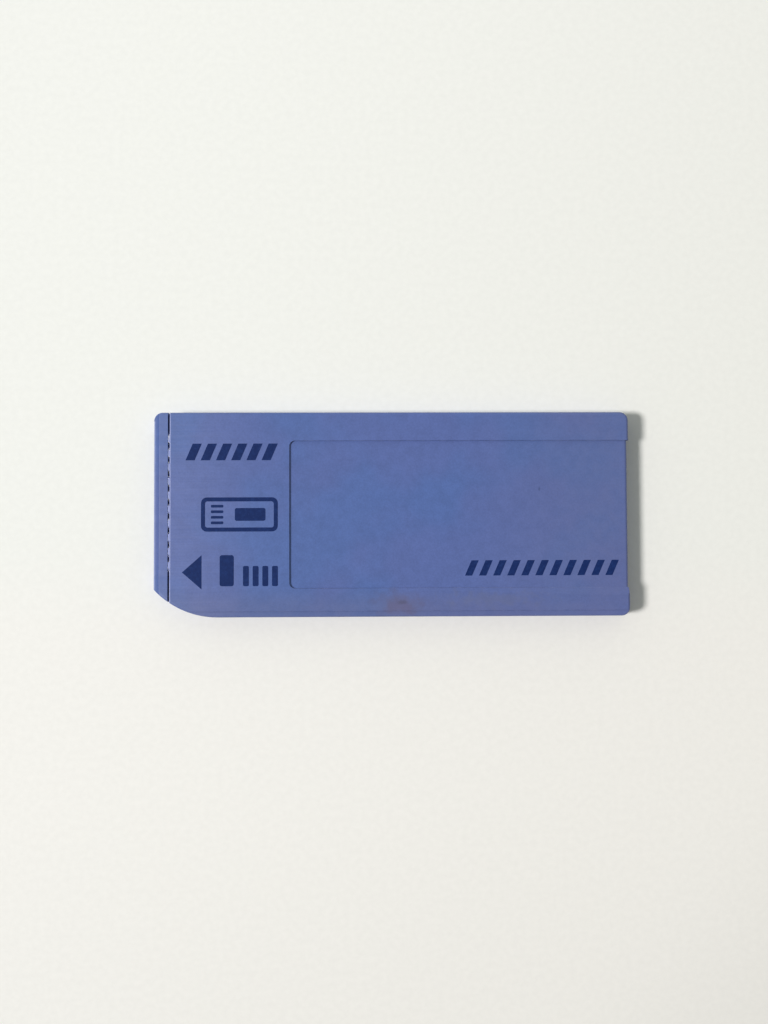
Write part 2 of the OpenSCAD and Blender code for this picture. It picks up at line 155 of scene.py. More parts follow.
hang_sun("lower_lamp", Vector((0, 0, -1)), LOWER_LAMP_SIZE, LOWER_LAMP_SHARE * math.pi)

# %% [markdown]
# ## Small helpers for node materials
# Every finish below is a small machine of nodes. Written out by hand, each node takes four lines and
# hides the idea, so one helper adds a node, sets what is fixed and links what is not.
# On top of it stand a sum, a soft step that is 1 past one value and 0 past another, and a blend of two colours.

# %% Helpers that add nodes
def add(tree, kind, settings=None, **inputs):
    node = tree.nodes.new(kind)
    for name, value in (settings or {}).items():
        setattr(node, name, value)
    for name, value in inputs.items():
        key = int(name[1:]) if name[0] == "i" and name[1:].isdigit() else name.replace("_", " ")
        if isinstance(value, bpy.types.NodeSocket):
            tree.links.new(value, node.inputs[key])
        else:
            node.inputs[key].default_value = value
    return node


def calc(tree, operation, first, second=0.0, third=0.0):
    return add(tree, "ShaderNodeMath", {"operation": operation}, i0=first, i1=second, i2=third).outputs[0]


def ramp(tree, value, start, end, low=0.0, high=1.0):
    settings = {"interpolation_type": "SMOOTHSTEP"}
    inputs = {"Value": value, "From_Min": start, "From_Max": end, "To_Min": low, "To_Max": high}
    return add(tree, "ShaderNodeMapRange", settings, **inputs).outputs["Result"]


def blend(tree, share, first, second):
    node = tree.nodes.new("ShaderNodeMix")
    node.data_type = "RGBA"
    for socket, value in ((node.inputs[0], share), (node.inputs[6], first), (node.inputs[7], second)):
        if isinstance(value, bpy.types.NodeSocket):
            tree.links.new(value, socket)
        else:
            socket.default_value = value
    return node.outputs[2]


print("node helpers ready")

# %% [markdown]
# ## Places, directions and shades
# Dirt and wear need to know where on the card they are, so one helper gives the place in millimetres
# and another splits it into its three parts. Vector nodes do one sum on all three parts at once: they scale
# a colour to make it lighter or darker, or tint it. Texture coordinates made by unwrapping would do too, but
# a place in millimetres needs no unwrapping and stays true when a size changes.

# %% Helpers for places and shades
def vector(tree, operation, first, second):
    return add(tree, "ShaderNodeVectorMath", {"operation": operation}, i0=first, i1=second).outputs[0]


def scaled(tree, value, factor):
    return add(tree, "ShaderNodeVectorMath", {"operation": "SCALE"}, i0=value, Scale=factor).outputs[0]


def dot(tree, first, second):
    settings = {"operation": "DOT_PRODUCT"}
    return add(tree, "ShaderNodeVectorMath", settings, i0=first, i1=second).outputs["Value"]


def place_in_mm(tree):
    return scaled(tree, add(tree, "ShaderNodeTexCoord").outputs["Object"], 1 / MM)


def parts_of(tree, value):
    node = add(tree, "ShaderNodeSeparateXYZ", i0=value)
    return node.outputs["X"], node.outputs["Y"], node.outputs["Z"]


def steepness(tree):
    normal = add(tree, "ShaderNodeNewGeometry").outputs["Normal"]
    return calc(tree, "ABSOLUTE", parts_of(tree, normal)[2])


def noise(tree, place, scale, detail=2.0, roughness=0.5, stretch=None):
    if stretch:
        place = vector(tree, "MULTIPLY", place, stretch)
    inputs = {"Vector": place, "Scale": scale, "Detail": detail, "Roughness": roughness}
    return add(tree, "ShaderNodeTexNoise", **inputs).outputs["Fac"]


print("place helpers ready")

# %% [markdown]
# ## An empty finish
# Each finish starts as Blender's standard surface. What is the same all over it, such as how metallic it is,
# is written on the surface itself. Only what changes from place to place is linked to nodes.

# %% Helpers for finishes
def new_finish(name, roughness=0.5, metal=0.0, specular=0.5):
    finish = bpy.data.materials.new(name)
    finish.use_nodes = True
    surface = finish.node_tree.nodes["Principled BSDF"]
    surface.inputs["Roughness"].default_value = roughness
    surface.inputs["Metallic"].default_value = metal
    surface.inputs["Specular IOR Level"].default_value = specular
    return finish, finish.node_tree, surface


def set_input(tree, surface, name, value):
    tree.links.new(value, surface.inputs[name])


def emboss(tree, surface, height, depth, strength, normal=None):
    bump = add(tree, "ShaderNodeBump", Strength=strength, Distance=depth * MM, Height=height)
    if normal:
        tree.links.new(normal, bump.inputs["Normal"])
    set_input(tree, surface, "Normal", bump.outputs["Normal"])


print("finish helpers ready")

# %% [markdown]
# ## Worn edges
# Edges that rub in pockets turn paler. The bevel node finds them: where the rounded normal
# leaves the true one there is an edge, and a noise breaks the wear up so that it isn't a drawn line.
# Painting the edges by hand would look as good, but would have to be done again for each new shape.
# The rounded normal is handed back as well, because it also takes the knife-sharpness off the edge.

# %% Find the worn edges
EDGE_REACH = 0.07


def worn_edges(tree, place, reach):
    true_normal = add(tree, "ShaderNodeNewGeometry").outputs["Normal"]
    soft_normal = add(tree, "ShaderNodeBevel", {"samples": 6}, Radius=reach * MM).outputs["Normal"]
    edge = ramp(tree, dot(tree, true_normal, soft_normal), 0.995, 0.86)
    broken = ramp(tree, noise(tree, place, 1.3, 3.0), 0.38, 0.62, 0.15, 1.0)
    return calc(tree, "MULTIPLY", edge, broken), soft_normal


print("edges are looked for within", EDGE_REACH, "mm")

# %% [markdown]
# ## The parting line
# The two shells meet flush, and only a hairline of dirt and shade shows their parting line on the sides.
# A real gap could be cut between them, but on a welded card there is none to see into.
# So the line is a mask: at the right height, on upright faces only, and only behind the nose.

# %% Draw the parting line
PARTING_SHADE = linear(28, 40, 74)
PARTING_Z = 1.4
PARTING_HALF_WIDTH = 0.045
UPRIGHT = 0.3


def parting_line(tree, place):
    along, _, height = parts_of(tree, place)
    side = calc(tree, "LESS_THAN", steepness(tree), UPRIGHT)
    behind_seam = calc(tree, "GREATER_THAN", along, cover_front)
    off = calc(tree, "ABSOLUTE", calc(tree, "SUBTRACT", height, PARTING_Z))
    line = ramp(tree, off, PARTING_HALF_WIDTH, PARTING_HALF_WIDTH / 3, 0.0, 0.85)
    return calc(tree, "MULTIPLY", line, calc(tree, "MULTIPLY", side, behind_seam))


print("parting line at", PARTING_Z, "mm")

# %% [markdown]
# ## The moulded plastic
# The real shells are dyed right through and come out of a mould whose steel was eroded by sparks, so the
# surface has a fine dull grain and no seam of paint. The dye is never quite even: soft clouds run through it.
# An image could show all this, but it would blur close up. Noise at three scales does not:
# clouds of several millimetres, mottles of one, and grain of a tenth.
# Towards the tail and along the near side the colour turns greyer and less blue, in uneven patches.

# %% Colours of the shells
PLASTIC = linear(74, 99, 160)
PLASTIC_CLOUD = linear(80, 98, 158)
# Pale colour of worn edges, also used for the painted highlights and sheen near the nose.
PALE_WEAR_AND_SHEEN = linear(156, 163, 207)
GREYER_TINT = linear(102, 98, 122)
PLASTIC_ROUGH = 0.42
GRAIN_DEPTH = 0.004
CLOUD_SCALE = 0.11
MOTTLE_SCALE = 0.9
GRAIN_SCALE = 5.5
GREYER_TINT_SHARE = 0.26
GREYER_TINT_START = 4.0


def dyed(tree, place, mottles, grain):
    clouds = ramp(tree, noise(tree, place, CLOUD_SCALE), 0.38, 0.62)
    tone = calc(tree, "ADD", ramp(tree, mottles, 0.25, 0.75, -0.055, 0.055),
                ramp(tree, grain, 0.25, 0.75, 0.925, 1.075))
    return scaled(tree, blend(tree, clouds, PLASTIC, PLASTIC_CLOUD), tone)


# Greyer and less blue towards the tail and along the near side.
def greyer_towards_tail(tree, place, mottles):
    along, across, _ = parts_of(tree, place)
    greyer_place = calc(tree, "MAXIMUM", ramp(tree, along, GREYER_TINT_START, tail_x),
                ramp(tree, across, 3.6 - side_y, 0.8 - side_y))
    uneven = ramp(tree, mottles, 0.3, 0.7, 0.8 * GREYER_TINT_SHARE, 1.2 * GREYER_TINT_SHARE)
    return calc(tree, "MULTIPLY", greyer_place, uneven)


print("the hands' film starts", GREYER_TINT_START, "mm behind the middle")

# %% [markdown]
# ## The recipe for a shell
# Both shells share one recipe: dye first, then the greyer tint, then pale edges, then the parting line. Each
# layer is blended over the last, as dirt on a real thing lies over what came before it.
# The marks that only one shell has are handed in as a function, so that nothing is written twice.

# %% Recipe for a shell
def shell_plastic(name, marks):
    finish, tree, surface = new_finish(name)
    place = place_in_mm(tree)
    mottles = noise(tree, place, MOTTLE_SCALE, 3.0, 0.6)
    grain = noise(tree, place, GRAIN_SCALE, 2.0, 0.7)
    colour = dyed(tree, place, mottles, grain)
    colour = blend(tree, greyer_towards_tail(tree, place, mottles), colour, GREYER_TINT)
    worn, soft_normal = worn_edges(tree, place, EDGE_REACH)
    colour = blend(tree, calc(tree, "MULTIPLY", worn, 0.35), colour, PALE_WEAR_AND_SHEEN)
    colour = blend(tree, parting_line(tree, place), colour, PARTING_SHADE)
    colour = marks(tree, place, colour)
    rough = calc(tree, "ADD", ramp(tree, mottles, 0.3, 0.7, -0.03, 0.03), PLASTIC_ROUGH)
    set_input(tree, surface, "Base Color", colour)
    set_input(tree, surface, "Roughness", rough)
    emboss(tree, surface, grain, GRAIN_DEPTH, 1.0, soft_normal)
    return finish


print("recipe for a shell is ready")

# %% [markdown]
# ## Marks of use
# The card in the photo is clean apart from a brown smudge at the lower edge, a faint rubbed streak beside it
# and one dark speck on the label place. Each could be a separate decal, but dirt has no edge of its own:
# it is a mask, densest in the middle, eaten into by noise, that mixes another colour into the plastic.
# The list gives each patch its middle, its size, how frayed it is, its share and its colour.

# %% Patches of dirt
SMUDGE_BROWN = linear(96, 82, 98)
SMUDGE_RED = linear(112, 88, 116)
SMUDGE_DARK = linear(66, 66, 92)
SCUFF_GREY = linear(100, 104, 128)
SPECK = linear(52, 66, 112)
PATCHES = [
    ((0.7, -9.4), (3.4, 1.9), 0.3, 0.9, 0.34, SMUDGE_BROWN),
    ((0.4, -10.0), (2.2, 1.2), 0.3, 0.9, 0.12, SMUDGE_RED),
    ((0.95, -9.25), (0.8, 0.35), 0.25, 1.5, 0.45, SMUDGE_DARK),
    ((10.5, -8.9), (6.5, 1.2), 0.5, 1.2, 0.25, SCUFF_GREY),
    ((15.5, 2.6), (0.14, 0.32), 0.1, 0.9, 0.65, SPECK),
]


def patch(tree, place, middle, size, frayed, scale):
    shift = vector(tree, "SUBTRACT", place, (*middle, top_z))
    shrunk = vector(tree, "MULTIPLY", shift, (1 / size[0], 1 / size[1], 0.0))
    far = add(tree, "ShaderNodeVectorMath", {"operation": "LENGTH"}, i0=shrunk).outputs["Value"]
    ragged = ramp(tree, noise(tree, place, scale, 3.0, 0.6), 0.25, 0.75, -frayed, frayed)
    return ramp(tree, calc(tree, "ADD", far, ragged), 1.0, 0.15)


print("patches of dirt:", len(PATCHES))

# %% [markdown]
# ## Painted sheen and highlights near the nose
# Towards the nose the plastic is painted paler: a painted sheen that stands in for the lamp's broad highlight,
# with hairlines in it that thin out behind the print. Along the cover's front edge a pale band is a painted
# highlight where the edge catches the lamp. Both are noise stretched until it is all lines: squeezed along one
# axis and spread along the other. Scratches drawn one by one would be sharper than these are in the photo.

# %% Scrapes and hairlines
FRONT_EDGE_HIGHLIGHT = (0.17, 0.08)
NOSE_SHEEN_END = 12.0
NOSE_SHEEN_START = 2.5
NOSE_SHEEN_SHARE = 0.09


def streak_noise(tree, place):
    return ramp(tree, noise(tree, place, 1.1, 3.0, stretch=(0.0, 1.0, 0.0)), 0.3, 0.7, 0.5, 1.0)


# Painted sheen: paler towards the nose, standing in for the lamp's broad highlight, with hairlines in it.
def hairlines_and_painted_sheen(tree, place):
    along = parts_of(tree, place)[0]
    lines = noise(tree, place, 1.0, 3.0, 0.6, stretch=(0.12, 6.0, 1.0))
    hairs = ramp(tree, lines, 0.3, 0.7, 0.7, 1.3)
    fading = ramp(tree, along, nose_x + NOSE_SHEEN_END, nose_x + NOSE_SHEEN_START, 0.0, NOSE_SHEEN_SHARE)
    return calc(tree, "MULTIPLY", fading, hairs)


def cover_marks(tree, place, colour):
    for middle, size, frayed, scale, share, dirt in PATCHES:
        mask = patch(tree, place, middle, size, frayed, scale)
        colour = blend(tree, calc(tree, "MULTIPLY", mask, share), colour, dirt)
    along = parts_of(tree, place)[0]
    # Painted highlight: a pale band along the cover's front edge, where it catches the lamp, broken up by
    # streaks.
    edge = ramp(tree, along, cover_front + FRONT_EDGE_HIGHLIGHT[0], cover_front + FRONT_EDGE_HIGHLIGHT[1])
    edge_highlight = calc(tree, "MULTIPLY", edge, streak_noise(tree, place))
    colour = blend(tree, calc(tree, "MULTIPLY", edge_highlight, 0.8), colour, PALE_WEAR_AND_SHEEN)
    return blend(tree, hairlines_and_painted_sheen(tree, place), colour, PALE_WEAR_AND_SHEEN)


cover_plastic = shell_plastic("cover_plastic", cover_marks)
print("cover finish:", len(cover_plastic.node_tree.nodes), "nodes")

# %% [markdown]
# ## The nose
# The nose bar belongs to the lower shell. Its top is painted a shade paler and its lip in front paler still,
# partly as wear and partly as a painted highlight where the nose faces the lamp. The inner corner of the low
# ledge before it is painted darker, a painted shade next to the bar's riser. Height tells the bar from the
# ledge, so the same finish can serve the whole shell, with its underside carrying the same hairlines and pale
# band as the cover.

# %% Marks on the nose
LEDGE_CORNER_SHADE = linear(62, 80, 128)
NOSE_LEDGE = 0.6
NOSE_BAR = 1.5
LIP = 0.45
BAR_PALE = 0.14
LIP_PALE = 0.2
UNDERSIDE = 0.5


def nose_marks(tree, place, colour):
    along, _, height = parts_of(tree, place)
    high = calc(tree, "GREATER_THAN", height, top_z - 0.2)
    upper = calc(tree, "GREATER_THAN", height, top_z - 0.5)
    nose = calc(tree, "LESS_THAN", along, nose_x + NOSE_BAR)
    # Painted highlight mixed with wear: the bar's top and the lip facing the lamp turn paler.
    bar_top = calc(tree, "MULTIPLY", calc(tree, "MULTIPLY", high, nose), BAR_PALE)
    lip = calc(tree, "MULTIPLY", upper, ramp(tree, along, nose_x + LIP, nose_x, 0.0, LIP_PALE))
    pale = calc(tree, "MULTIPLY", calc(tree, "MAXIMUM", bar_top, lip), streak_noise(tree, place))
    colour = blend(tree, calc(tree, "MULTIPLY", pale, 1.3), colour, PALE_WEAR_AND_SHEEN)
    # Painted shade: the ledge darkens in its inner corner, next to the bar's riser.
    ledge_end = nose_x + NOSE_LEDGE
    corner = ramp(tree, along, ledge_end - 0.2, ledge_end - 0.03, 0.0, 0.3)
    on_ledge = calc(tree, "MULTIPLY", upper, calc(tree, "SUBTRACT", 1.0, high))
    colour = blend(tree, calc(tree, "MULTIPLY", corner, on_ledge), colour, LEDGE_CORNER_SHADE)
    # The underside gets the same hairlines and pale band near the nose as the cover.
    below = calc(tree, "LESS_THAN", height, UNDERSIDE)
    return blend(tree, calc(tree, "MULTIPLY", hairlines_and_painted_sheen(tree, place), below), colour, PALE_WEAR_AND_SHEEN)


lower_plastic = shell_plastic("lower_shell_plastic", nose_marks)
print("lower shell's finish:", len(lower_plastic.node_tree.nodes), "nodes")

# %% [markdown]
# ## The circuit board
# Only slips of it show, beside the contacts in their windows: green lacquer over woven glass and copper.
# The lacquer is a clear skin, so it gets a coat, and the copper tracks under it stand up slightly.
# Real tracks could be drawn one by one. Under lacquer, and this small, soft bands do the same.

# %% Lacquered board
BOARD_GREEN = linear(34, 92, 58)
BOARD_TRACK = linear(58, 124, 74)
BOARD_GLASS = linear(164, 152, 104)
TRACK_HEIGHT = 0.02

board_finish, tree, surface = new_finish("board_lacquer", roughness=0.35)
surface.inputs["Coat Weight"].default_value = 0.6
surface.inputs["Coat Roughness"].default_value = 0.15
place = place_in_mm(tree)
settings = {"wave_type": "BANDS", "bands_direction": "DIAGONAL"}
bands = add(tree, "ShaderNodeTexWave", settings, Vector=place, Scale=0.55, Distortion=5.0, Detail=1.0)
tracks = ramp(tree, bands.outputs["Fac"], 0.55, 0.62)
weave = noise(tree, place, 7.0, 1.0)
cut_edge = ramp(tree, steepness(tree), 0.5, 0.2)
colour = blend(tree, cut_edge, blend(tree, tracks, BOARD_GREEN, BOARD_TRACK), BOARD_GLASS)
set_input(tree, surface, "Base Color", scaled(tree, colour, ramp(tree, weave, 0.2, 0.8, 0.9, 1.1)))
set_input(tree, surface, "Roughness", ramp(tree, weave, 0.2, 0.8, 0.3, 0.42))
emboss(tree, surface, calc(tree, "MULTIPLY_ADD", weave, 0.3, tracks), TRACK_HEIGHT, 0.6)
print("board finish:", len(tree.nodes), "nodes")

# %% [markdown]
# ## Metals
# Contacts are gold over nickel, and the pins of a socket wipe along them, so they carry fine lines
# from nose to tail and a duller, redder tone where no pin reaches. Legs are dull tin, the wiper is bronze.
# One recipe makes all of them: a metal colour, stretched noise for the lines, patchy roughness.

# %% Metals
SCRATCH_DEPTH = 0.003


def metal(name, bright, dull, rough, lines):
    finish, tree, surface = new_finish(name, roughness=rough, metal=1.0)
    place = place_in_mm(tree)
    patches = ramp(tree, noise(tree, place, 1.4, 3.0), 0.35, 0.65)
    scratches = noise(tree, place, 1.0, 3.0, 0.6, stretch=lines)
    set_input(tree, surface, "Base Color", blend(tree, patches, bright, dull))
    set_input(tree, surface, "Roughness", ramp(tree, scratches, 0.3, 0.7, rough - 0.07, rough + 0.1))
    emboss(tree, surface, scratches, SCRATCH_DEPTH, 0.5)
    return finish


gold = metal("contact_gold", linear(236, 200, 118), linear(214, 170, 92), 0.24, (0.6, 14.0, 1.0))
tin = metal("leg_tin", linear(206, 207, 209), linear(176, 177, 178), 0.36, (9.0, 9.0, 9.0))
bronze = metal("wiper_bronze", linear(200, 160, 104), linear(174, 132, 84), 0.3, (1.0, 10.0, 4.0))
print("metals:", gold.name, tin.name, bronze.name)

# %% [markdown]
# ## Chips
# A chip's body is black resin full of ground glass: dull, with tiny pale flecks. It is never seen in the closed
# card, but whoever takes the cover off should find it finished.

# %% Chip resin
RESIN_BLACK = linear(32, 33, 36)
RESIN_FLECK = linear(96, 98, 102)
RESIN_GRAIN = 0.006

resin, tree, surface = new_finish("chip_resin", roughness=0.6, specular=0.4)
place = place_in_mm(tree)
flecks = ramp(tree, noise(tree, place, 9.0, 2.0, 0.8), 0.6, 0.72, 0.0, 0.35)
set_input(tree, surface, "Base Color", blend(tree, flecks, RESIN_BLACK, RESIN_FLECK))
set_input(tree, surface, "Roughness", ramp(tree, noise(tree, place, 0.7), 0.3, 0.7, 0.52, 0.68))
emboss(tree, surface, noise(tree, place, 12.0), RESIN_GRAIN, 0.5)
print("resin finish:", len(tree.nodes), "nodes")

# %% [markdown]
# ## Capacitors and resistors
# They are fired ceramic between two dipped metal ends. The body and its ends are one solid here,
# so a mask along the part's length tells them apart, measured from the node's own box.
# Two solids would allow two plain finishes, but the real part is one piece too.

# %% Chip parts
CAPACITOR_TAN = (linear(178, 146, 108), linear(160, 126, 92))
RESISTOR_DARK = (linear(38, 39, 44), linear(52, 53, 58))
DIPPED_METAL = linear(200, 200, 202)
DIPPED_LENGTH = 0.301
CERAMIC_GRAIN = 0.005


def chip_part_finish(node, body_colour, body_tint):
    finish, tree, surface = new_finish(f"{node}_finish", roughness=0.45)
    low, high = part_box(node)
    middle = (low.x + high.x) / 2 / MM
    half = (high.x - low.x) / 2 / MM
    place = place_in_mm(tree)
    off = calc(tree, "ABSOLUTE", calc(tree, "SUBTRACT", parts_of(tree, place)[0], middle))
    cap = calc(tree, "GREATER_THAN", off, half - DIPPED_LENGTH)
    fired = blend(tree, noise(tree, place, 5.0, 3.0), body_colour, body_tint)
    grain = noise(tree, place, 8.0)
    set_input(tree, surface, "Base Color", blend(tree, cap, fired, DIPPED_METAL))
    set_input(tree, surface, "Metallic", cap)
    set_input(tree, surface, "Roughness", ramp(tree, grain, 0.3, 0.7, 0.36, 0.5))
    emboss(tree, surface, grain, CERAMIC_GRAIN, 0.4)
    return finish


print("recipe for chip parts is ready")

# %% [markdown]
# ## The lock slider
# It is a separate, paler moulding of a slippery plastic, a little waxy, greyer in patches and in its grooves.
# Wax-like plastic could use real scattering. At a third of a millimetre thick over a dark board
# it changes nothing that the eye can see, so a soft gloss and the greyer grooves carry the look.

# %% Slider plastic
SLIDER_PALE = linear(196, 198, 206)
SLIDER_GREY = linear(140, 140, 146)
SLIDER_EDGE = 0.05
GROOVE = (0.04, 0.12)

slider_finish, tree, surface = new_finish("slider_plastic", roughness=0.38)
place = place_in_mm(tree)
smear = ramp(tree, noise(tree, place, 1.2, 3.0, 0.6), 0.4, 0.7)
knob_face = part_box("lock_slider")[0].z / MM
# Greyer in its deeper parts, from about 0.1 mm above its lowest face, and in noise patches.
groove = ramp(tree, parts_of(tree, place)[2], knob_face + GROOVE[0], knob_face + GROOVE[1])
dirt = calc(tree, "MULTIPLY", calc(tree, "MAXIMUM", smear, groove), 0.55)
set_input(tree, surface, "Base Color", blend(tree, dirt, SLIDER_PALE, SLIDER_GREY))
set_input(tree, surface, "Roughness", ramp(tree, smear, 0.0, 1.0, 0.34, 0.46))
soft_edge = worn_edges(tree, place, SLIDER_EDGE)[1]
emboss(tree, surface, noise(tree, place, 6.0), GRAIN_DEPTH, 0.4, soft_edge)
print("slider finish:", len(tree.nodes), "nodes")

# %% [markdown]
# ## Dress the solids
# Each solid keeps its mesh and only gets a finish in its material slot. The big pieces are named one by one,
# the small ones go by the start of their names, and what is left over are contacts and pads, which are gold.

# %% Give every solid its finish
FINISH_OF = {
    "bottom_case": lower_plastic, "top_cover": cover_plastic, "circuit_board": board_finish,
    "controller_chip": resin, "flash_chip": resin, "controller_leads": tin, "flash_leads": tin,
    "lock_slider": slider_finish, "lock_spring": bronze,
}

for name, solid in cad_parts.items():
    if name in FINISH_OF:
        finish = FINISH_OF[name]
    elif name.startswith("capacitor"):
        finish = chip_part_finish(name, *CAPACITOR_TAN)
    elif name.startswith("resistor"):
        finish = chip_part_finish(name, *RESISTOR_DARK)
    else:
        finish = gold
    solid.data.materials.clear()
    solid.data.materials.append(finish)
print("dressed", len(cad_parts), "solids")

# %% [markdown]
# ## Outlines for the print
# The card is printed by pad: a soft rubber stamp lays a film of navy ink a hundredth of a millimetre thick.
# The film could be a mask in the plastic's material, but then its edge would be only as sharp as the noise
# and bake around it. Here each mark is a thin plate with its own outline, so the outlines come first.

# %% Outlines
def round_bar(left, bottom, right, top, radius, steps=6):
    corners = [(right - radius, top - radius, 0), (left + radius, top - radius, 90),
               (left + radius, bottom + radius, 180), (right - radius, bottom + radius, 270)]
    outline = []
    for x, y, start in corners:
        for step in range(steps + 1):
            angle = math.radians(start + 90 * step / steps)
            outline.append((x + radius * math.cos(angle), y + radius * math.sin(angle)))
    return outline


def slanted_bar(left, bottom, width, height, slant):
    return [(left, bottom), (left + width, bottom), (left + width + slant, bottom + height),
            (left + slant, bottom + height)]


print("a bar with round ends has", len(round_bar(0, 0, 9, 1, 0.4)), "corners")

# %% [markdown]
# ## Plates of ink
# A plate is its outline drawn twice, low and high, with walls between. It is sunk slightly into the plastic,
# so that no light gets under it. Two outlines of equal count make a frame: then the top and the bottom are
# rings, which is how the little picture of a card gets its border.

# %% Ink plates
INK_RISE = 0.012
INK_SINK = 0.01


def side_walls(mesh, low, high):
    for i in range(len(low)):
        j = (i + 1) % len(low)
        mesh.faces.new((low[i], low[j], high[j], high[i]))


def ink_plate(name, shapes, face_z):
    mesh = bmesh.new()

    def loop(outline, z):
        return [mesh.verts.new((x * MM, y * MM, z * MM)) for x, y in outline]

    for shape in shapes:
        outer, inner = shape if isinstance(shape, tuple) else (shape, None)
        low = loop(outer, face_z - INK_SINK)
        high = loop(outer, face_z + INK_RISE)
        side_walls(mesh, low, high)
        if inner:
            low_hole = loop(inner, face_z - INK_SINK)
            high_hole = loop(inner, face_z + INK_RISE)
            side_walls(mesh, low_hole, high_hole)
            side_walls(mesh, low, low_hole)
            side_walls(mesh, high, high_hole)
        else:
            mesh.faces.new(low)
            mesh.faces.new(high)
    bmesh.ops.recalc_face_normals(mesh, faces=mesh.faces)
    data = bpy.data.meshes.new(name)
    mesh.to_mesh(data)
    mesh.free()
    plate = bpy.data.objects.new(name, data)
    bpy.context.scene.collection.objects.link(plate)
    return plate


print("ink stands", INK_RISE, "mm proud")

# %% [markdown]
# ## The ink
# Pad ink is thin over the grain and slightly duller than the plastic. It covers unevenly: a few pinholes
# let the plastic through, and it is worn a touch at the grain's peaks. The bump repeats the plastic's own
# grain, because a film this thin follows what lies under it.

# %% Ink finish
INK_NAVY = linear(10, 35, 88)
INK_THIN = linear(20, 46, 102)

ink, tree, surface = new_finish("navy_ink", roughness=0.5, specular=0.16)
place = place_in_mm(tree)
cover = noise(tree, place, 3.0, 3.0, 0.6)
pinholes = ramp(tree, noise(tree, place, 9.0, 2.0, 0.7), 0.66, 0.76)
colour = blend(tree, ramp(tree, cover, 0.4, 0.75), INK_NAVY, INK_THIN)
colour = blend(tree, calc(tree, "MULTIPLY", pinholes, 0.3), colour, PLASTIC)
set_input(tree, surface, "Base Color", colour)
set_input(tree, surface, "Roughness", ramp(tree, cover, 0.3, 0.7, 0.46, 0.58))
emboss(tree, surface, noise(tree, place, GRAIN_SCALE, 2.0, 0.7), GRAIN_DEPTH, 0.7)
print("ink finish:", len(tree.nodes), "nodes")

# %% [markdown]
# ## The marks
# The triangle tells which end goes in first, as on the real card. Where that card carries names and figures,
# this one has plain shapes of the same size: a row of slanted bars, a little picture of a card with its
# contacts, a few blocks, and a second row of bars on the label place.
# They keep the weight and colour of the print in the picture, and say nothing.

# %% Shapes of the marks
ARROW = [(-22.0, -6.03), (-19.96, -4.24), (-19.96, -7.8)]
TOP_BARS = [slanted_bar(-21.66 + 1.59 * i, 5.7, 0.95, 1.75, 0.75) for i in range(6)]
PICTURE = [
    (round_bar(-20.03, -1.78, -12.01, 1.8, 0.6), round_bar(-19.61, -1.36, -12.43, 1.38, 0.25)),
    *[round_bar(-19.0, -1.0 + 0.58 * i, -17.7, -0.72 + 0.58 * i, 0.1) for i in range(4)],
    round_bar(-16.5, -0.66, -13.3, 0.68, 0.2),
]
BLOCKS = [
    round_bar(-18.07, -7.49, -16.6, -4.24, 0.25),
    *[round_bar(-15.64 + 1.01 * i, -7.49, -15.03 + 1.01 * i, -5.38, 0.15) for i in range(4)],
]
LABEL_BARS = [slanted_bar(7.6 + 1.48 * i, -6.48, 0.75, 1.6, 0.7) for i in range(11)]
print("bars on top:", len(TOP_BARS), "bars on the label place:", len(LABEL_BARS))

# %% [markdown]
# ## Print them
# The marks near the nose lie on the cover's face, and the last row lies on the floor of the label recess.
# Each plate rides on the body "card", so it goes wherever the card goes.

# %% Print the marks
LABEL_DEPTH = 0.2

for name, shapes, face_z in (
    ("arrow_mark", [ARROW], top_z),
    ("top_bars_mark", TOP_BARS, top_z),
    ("picture_mark", PICTURE, top_z),
    ("blocks_mark", BLOCKS, top_z),
    ("label_bars_mark", LABEL_BARS, top_z - LABEL_DEPTH),
):
    plate = ink_plate(name, shapes, face_z)
    plate.data.materials.append(ink)
    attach(plate, "card")
    print(name, "shapes:", len(shapes))

# %% [markdown]
# ## The table
# The card lies on a white sheet. A flat square three metres wide is enough: its edge is far outside the picture,
# and from low down it still reaches the horizon. It is only the stage.
# It lets the lower lamp's light through to the underside, and there is nothing else below for it to shade.

# %% Table
TABLE_SIZE = 3.0

mesh = bmesh.new()
bmesh.ops.create_grid(mesh, x_segments=2, y_segments=2, size=TABLE_SIZE / 2)
table_data = bpy.data.meshes.new("table")
mesh.to_mesh(table_data)
mesh.free()
table = bpy.data.objects.new("table", table_data)
bpy.context.scene.collection.objects.link(table)
table.visible_shadow = False
print("table", TABLE_SIZE, "m wide")

# %% [markdown]
# ## The sheet's tone
# The sheet is brighter on the lamp's side. Its colour carries that slow change, so the light on the card
# stays even. Paper has a faint tooth, which noise gives it. Towards the viewer and the near right corner it
# dims a little more, and its near half is a touch warmer.

# %% Tone of the sheet
TABLE_BRIGHT = linear(246, 246, 242)
TABLE_DIM = linear(234, 233, 228)
NEAR_WARMTH = (1.016, 0.997, 1.0)
NEAR_DIM = 0.975
CORNER_DIM = 0.94


def sheet_colour(tree, place, tooth):
    along, across, _ = parts_of(tree, place)
    fade = ramp(tree, calc(tree, "MULTIPLY_ADD", across, -0.35, along), -60.0, 75.0)
    near = ramp(tree, across, -25.0, -58.0, 1.0, NEAR_DIM)
    corner = ramp(tree, calc(tree, "MULTIPLY_ADD", across, -0.9, along), 62.0, 95.0, 1.0, CORNER_DIM)
    paper_tone = ramp(tree, tooth, 0.2, 0.8, 0.98, 1.02)
    tone = calc(tree, "MULTIPLY", paper_tone, calc(tree, "MULTIPLY", near, corner))
    colour = scaled(tree, blend(tree, fade, TABLE_BRIGHT, TABLE_DIM), tone)
    warmed = vector(tree, "MULTIPLY", colour, NEAR_WARMTH)
    return blend(tree, ramp(tree, across, -2.0, -14.0), colour, warmed)


print("the sheet dims to", NEAR_DIM, "and", CORNER_DIM)

